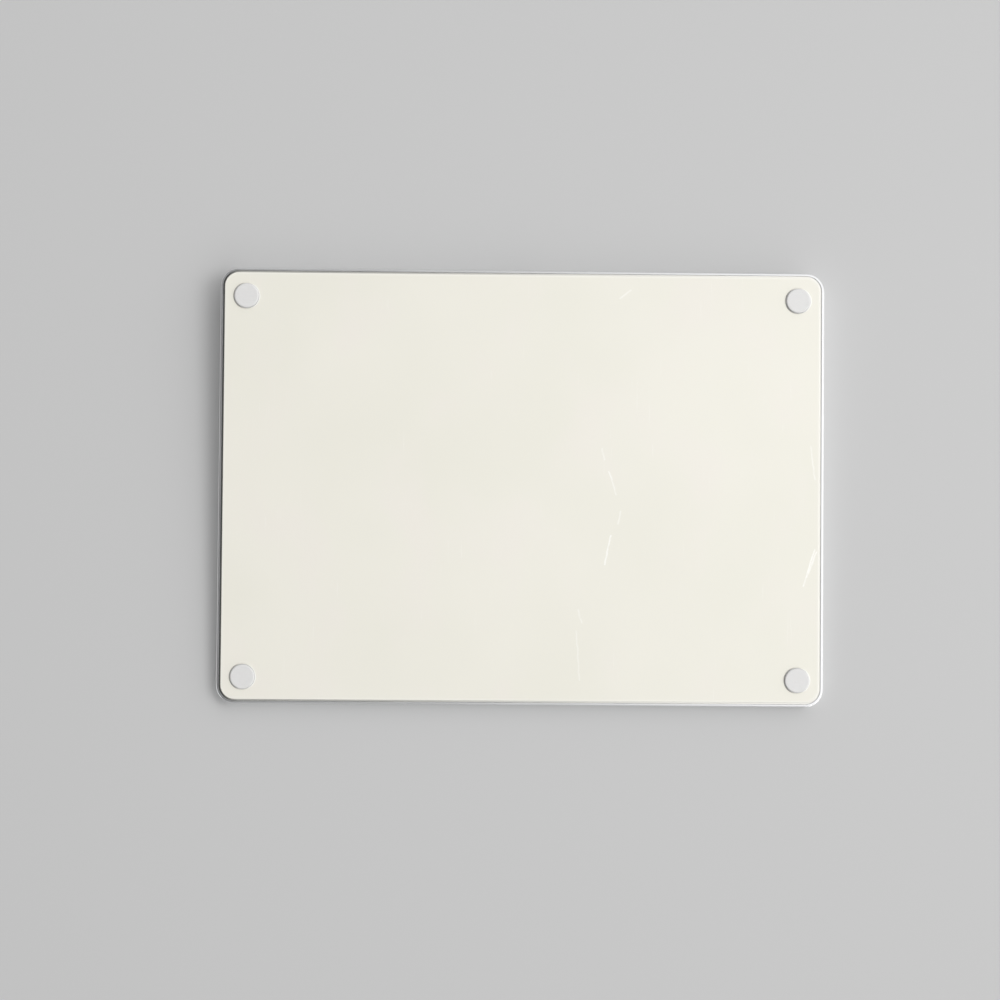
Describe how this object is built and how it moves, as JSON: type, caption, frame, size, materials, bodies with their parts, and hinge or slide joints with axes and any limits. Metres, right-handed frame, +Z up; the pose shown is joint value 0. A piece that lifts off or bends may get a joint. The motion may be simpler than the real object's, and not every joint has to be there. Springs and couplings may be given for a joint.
{
  "type": "trackpad",
  "caption": "Wedge-shaped wireless trackpad: floating glass touch deck on leaf springs, haptic drive, sliding power switch, charging socket, closed underside with round feet.",
  "frame": {"origin": "on the desk plane that the feet stand on, under the middle of the case outline", "axes": "+X to the user's right, +Y to the thick rear edge with the charging socket, +Z up through the glass"},
  "size_m": [0.16, 0.115, 0.0109],
  "materials": {
    "anodised_aluminium": "fine blasted, clear anodised",
    "white_plastic": "satin, with fine scratches",
    "adhesive": "matt",
    "foot_rubber": "satin",
    "white_glass": "etched satin, white behind",
    "circuit_board": "solder mask",
    "deck_aluminium": "rolled",
    "chip_black": "moulded",
    "connector_plastic": "moulded",
    "flex_film": "polyimide film",
    "spring_steel": "rolled",
    "gel": "soft silicone",
    "screw_steel": "blackened",
    "sheet_steel": "plated",
    "core_iron": "pressed",
    "copper_wire": "enamelled",
    "cell_pouch": "laminated foil",
    "contact_gold": "gold plated",
    "slider_plastic": "satin",
    "indicator_green": "film"
  },
  "bodies": {
    "case": {"housing": "anodised_aluminium", "bottom_cover": "white_plastic", "cover_adhesive": "adhesive", "foot_front_left": "foot_rubber", "foot_front_right": "foot_rubber", "foot_rear_left": "foot_rubber", "foot_rear_right": "foot_rubber", "foot_adhesive": "adhesive", "deck_flex": "flex_film", "corner_spring_front_left": "spring_steel", "corner_spring_front_right": "spring_steel", "corner_spring_rear_left": "spring_steel", "corner_spring_rear_right": "spring_steel", "strain_gauges": "flex_film", "spring_screws": "screw_steel", "actuator_bracket": "sheet_steel", "actuator_cores": "core_iron", "actuator_coils": "copper_wire", "actuator_screws": "screw_steel", "actuator_flex": "flex_film", "battery_cell": "cell_pouch", "battery_board": "circuit_board", "battery_tape": "adhesive", "battery_flex": "flex_film", "logic_board": "circuit_board", "shield_can": "sheet_steel", "board_chips": "chip_black", "board_connectors": "connector_plastic", "board_screws": "screw_steel", "antenna": "contact_gold", "port_shell": "sheet_steel", "port_insert": "chip_black", "port_contacts": "contact_gold", "port_bracket": "sheet_steel", "port_screws": "screw_steel", "port_flex": "flex_film", "switch_body": "sheet_steel", "switch_board": "circuit_board", "switch_screws": "screw_steel", "switch_flex": "flex_film"},
    "deck_pads": {"gel_pads": "gel"},
    "touch_deck": {"touch_glass": "white_glass", "glass_bond": "adhesive", "sensor_board": "circuit_board", "deck_plate": "deck_aluminium", "touch_chips": "chip_black", "deck_connector": "connector_plastic", "armature": "core_iron"},
    "switch_slider": {"power_slider": "slider_plastic", "switch_indicator": "indicator_green", "switch_toggle": "chip_black"}
  },
  "joints": [
    {"name": "deck_press", "type": "slide", "parent": "case", "child": "deck_pads", "axis": [0, -0.0521, 0.9986], "range_m": [-0.0003, 0], "stiffness_N_per_m": 6000, "springref_m": 0.0003, "deforming": ["corner_spring_front_left", "corner_spring_front_right", "corner_spring_rear_left", "corner_spring_rear_right", "deck_flex"]},
    {"name": "haptic_shift", "type": "slide", "parent": "deck_pads", "child": "touch_deck", "axis": [1, 0, 0], "range_m": [-0.00015, 0.00015], "stiffness_N_per_m": 8000},
    {"name": "power_switch", "type": "slide", "parent": "case", "child": "switch_slider", "axis": [1, 0, 0], "range_m": [0, 0.0026]}
  ]
}
